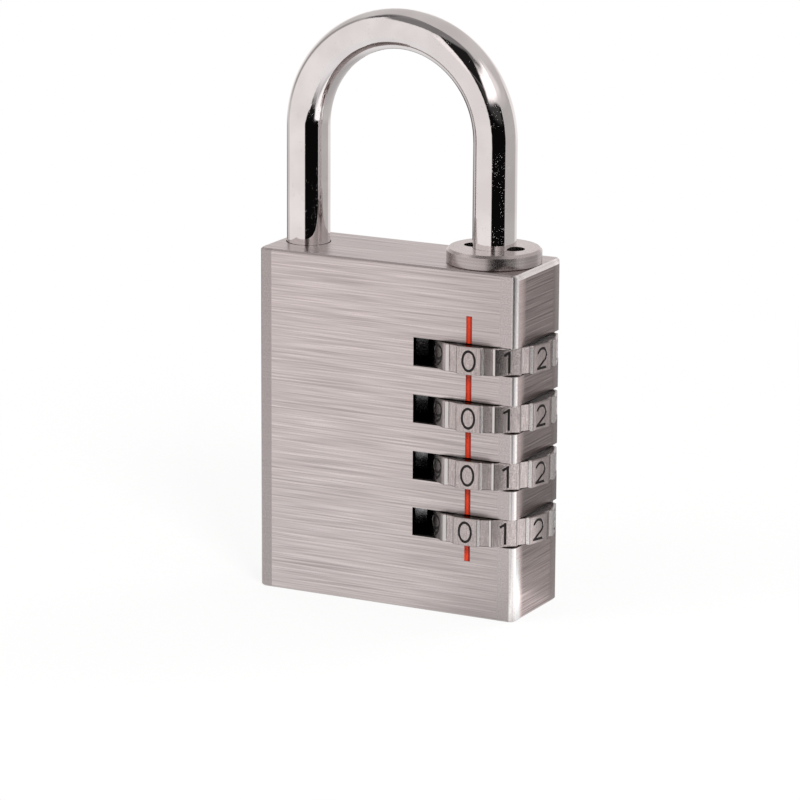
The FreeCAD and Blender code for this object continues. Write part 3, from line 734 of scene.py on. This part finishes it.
def dialMaterial(setup):
    material, tree, shader, coords = newMaterial("platedDial")
    speckSize, speckShare, speckStrength, speckDepth = setup["specks"]
    upright = vectorNode(tree, -800, 200, "MULTIPLY", coords["Object"], (1.0, 1.0, 0.12))
    grain = placeGroup(tree, fineGrain, -500, 200, Position=upright, Size=setup["grain"]).outputs["Grain"]
    specks = placeGroup(tree, fineGrain, -500, -200, Position=coords["Object"], Size=speckSize).outputs["Grain"]
    tone = mixFloat(tree, -200, 100, speckShare, grain, specks)
    colour = mixColour(tree, 0, 100, tone, setup["dark"], setup["light"])
    low, high = setup["roughness"]
    join(tree, rangeNode(tree, 200, -100, tone, 0.0, 1.0, high, low, False), shader.inputs["Roughness"])

    # distance and direction from the axis
    local = vectorNode(tree, -1200, -600, "SUBTRACT", coords["Object"], heelAxis)
    flat = vectorNode(tree, -1000, -600, "MULTIPLY", local, (1.0, 1.0, 0.0))
    squared = vectorNode(tree, -800, -600, "DOT_PRODUCT", flat, flat)
    radius = mathNode(tree, -600, -900, "SQRT", squared)
    outward = vectorNode(tree, -800, -1000, "NORMALIZE", flat)
    turned = vectorNode(tree, -600, -1000, "DOT_PRODUCT", outward, coords["Normal"])
    facing = axesNode(tree, -600, 500, coords["Normal"])
    levelled = mathNode(tree, -450, 500, "ABSOLUTE", facing["Z"])

    # painted highlight on the flanks, painted shade in the creases at their foot, on the ends, in tight places and
    # behind the window, dark pad edges
    flankHighlight = rangeNode(tree, -400, -1000, turned, *setup["wallsTurn"], 1.0, 0.0)
    flankHighlight = productNode(tree, -200, -1050, flankHighlight, rangeNode(tree, -400, -1150, levelled, 0.3, 0.6, 1.0, 0.0))
    colour = mixColour(tree, 0, 300, flankHighlight, colour, setup["flankHighlightColour"])
    footFrom, footTo, footTone = setup["creaseShadeLine"]
    softFrom, softTo = setup["footSoft"]
    creaseShade = bandNode(tree, -400, -1300, radius, footFrom * mm, footTo * mm, softFrom * mm, softTo * mm)
    rimRadius, rimSoft, rimTone = setup["rimLine"]
    rim = stepNode(tree, 0, -1500, radius, rimRadius * mm, rimSoft * mm, 1.0, rimTone)
    endShade = rangeNode(tree, -300, 500, levelled, 0.6, 0.9, 1.0, setup["ends"])
    recessShadeTone, recessReach = setup["recess"]
    shelter = addNode(tree, "ShaderNodeAmbientOcclusion", -600, 700, samples=4)
    shelter.inputs["Distance"].default_value = recessReach * mm
    open = rangeNode(tree, -300, 700, shelter.outputs["AO"], *setup["recessOpen"], recessShadeTone, 1.0)
    # this shade belongs to the window and stays there when a dial turns
    spot = axesNode(tree, -600, 950, addNode(tree, "ShaderNodeNewGeometry", -800, 950).outputs["Position"])
    windowFrom, windowTo, windowTone = setup["window"]
    behind = rangeNode(tree, -400, 950, spot["X"], windowFrom * mm, windowTo * mm, windowTone, 1.0)
    shades = productNode(tree, -200, 700, endShade, open, behind, mixFloat(tree, 0, -1350, creaseShade, 1.0, footTone), rim)
    join(tree, shadeNode(tree, 450, 300, colour, shades), shader.inputs["Base Color"])

    # the pads bulge a little and the flutes are hollow
    beyond = mathNode(tree, -600, -600, "SUBTRACT", squared, (setup["fluteRadius"] * mm) ** 2)
    crown = mathNode(tree, -500, -600, "MAXIMUM", beyond, 0.0)
    crown = mathNode(tree, -400, -600, "MULTIPLY", crown, -setup["padCrown"] / mm)
    hollow = mathNode(tree, -500, -800, "MINIMUM", beyond, 0.0)
    hollow = mathNode(tree, -400, -800, "MULTIPLY", hollow, setup["fluteHollow"] / mm)
    form = bumpNode(tree, -100, -600, mathNode(tree, -250, -700, "ADD", crown, hollow), 1.0, 1.0)
    join(tree, bumpNode(tree, 200, -300, specks, speckStrength, speckDepth * mm, form), shader.inputs["Normal"])
    shader.inputs["Metallic"].default_value = 1.0
    return material


# paints

numeralPaint = dict(
    low=(0.004, 0.003, 0.003, 1.0),
    high=(0.014, 0.011, 0.011, 1.0),
    roughness=(0.36, 0.5),
    bump=0.2,
)
indexPaint = dict(
    low=(0.52, 0.030, 0.008, 1.0),
    high=(0.76, 0.062, 0.014, 1.0),
    roughness=(0.42, 0.55),
    bump=0.3,
    grooveShadowTone=(0.24, 0.010, 0.006, 1.0),   # painted shadow of the groove's right wall
    grooveShadowFrom=(12.80, 12.96),              # mm along X
)


def paintMaterial(name, setup):
    material, tree, shader, coords = newMaterial(name)
    grain = placeGroup(tree, fineGrain, -400, 0, Position=coords["Object"], Size=3000.0).outputs
    tone = mixFloat(tree, -100, 100, 0.5, grain["Cloud"], grain["Grain"])
    colour = mixColour(tree, 100, 100, tone, setup["low"], setup["high"])
    # painted shadow along the groove's right wall
    if "grooveShadowFrom" in setup:
        axes = axesNode(tree, -400, 400, coords["Object"])
        grooveShadowFrom, grooveShadowTo = setup["grooveShadowFrom"]
        grooveShadow = rangeNode(tree, -100, 400, axes["X"], grooveShadowFrom * mm, grooveShadowTo * mm)
        uneven = rangeNode(tree, -100, 600, grain["Cloud"], 0.1, 0.9, 0.75, 1.0)
        colour = mixColour(tree, 200, 300, productNode(tree, 100, 400, grooveShadow, uneven), colour, setup["grooveShadowTone"])
    join(tree, colour, shader.inputs["Base Color"])
    low, high = setup["roughness"]
    join(tree, rangeNode(tree, 200, -100, grain["Cloud"], 0.0, 1.0, low, high, False), shader.inputs["Roughness"])
    join(tree, bumpNode(tree, 200, -300, grain["Grain"], setup["bump"], 0.01 * mm), shader.inputs["Normal"])
    shader.inputs["Specular IOR Level"].default_value = 0.25
    return material


# inner pieces

sleeveBrass = dict(dark=(0.48, 0.33, 0.12, 1.0), light=(0.80, 0.60, 0.28, 1.0), roughness=(0.18, 0.34), bump=0.3)
springSteel = dict(dark=(0.34, 0.34, 0.35, 1.0), light=(0.60, 0.60, 0.62, 1.0), roughness=(0.16, 0.32), bump=0.3)
plugMetal = dict(dark=(0.44, 0.41, 0.40, 1.0), light=(0.68, 0.645, 0.635, 1.0), roughness=(0.26, 0.42), bump=0.3)

materials = {
    "case_metal": caseMaterial(brushedCase),
    "shackle_nickel": shackleMaterial(polishedShackle),
    "collar_metal": turnedMaterial("turnedCollar", turnedCollar),
    "dial_metal": dialMaterial(platedDial),
    "index_paint": paintMaterial("indexPaint", indexPaint),
    "numeral_paint": paintMaterial("numeralPaint", numeralPaint),
    "sleeve_brass": turnedMaterial("sleeveBrass", sleeveBrass),
    "spring_steel": turnedMaterial("springSteel", springSteel),
    "plug_metal": turnedMaterial("plugMetal", plugMetal),
}
print("materials built:", len(materials))


def dressNodes():
    for part in frame["record"]["subparts"]:
        dressed = frame["nodes"][part["node"]].data.materials
        dressed.clear()
        dressed.append(materials[part["material_slot"]])


dressNodes()
print("frame dressed")
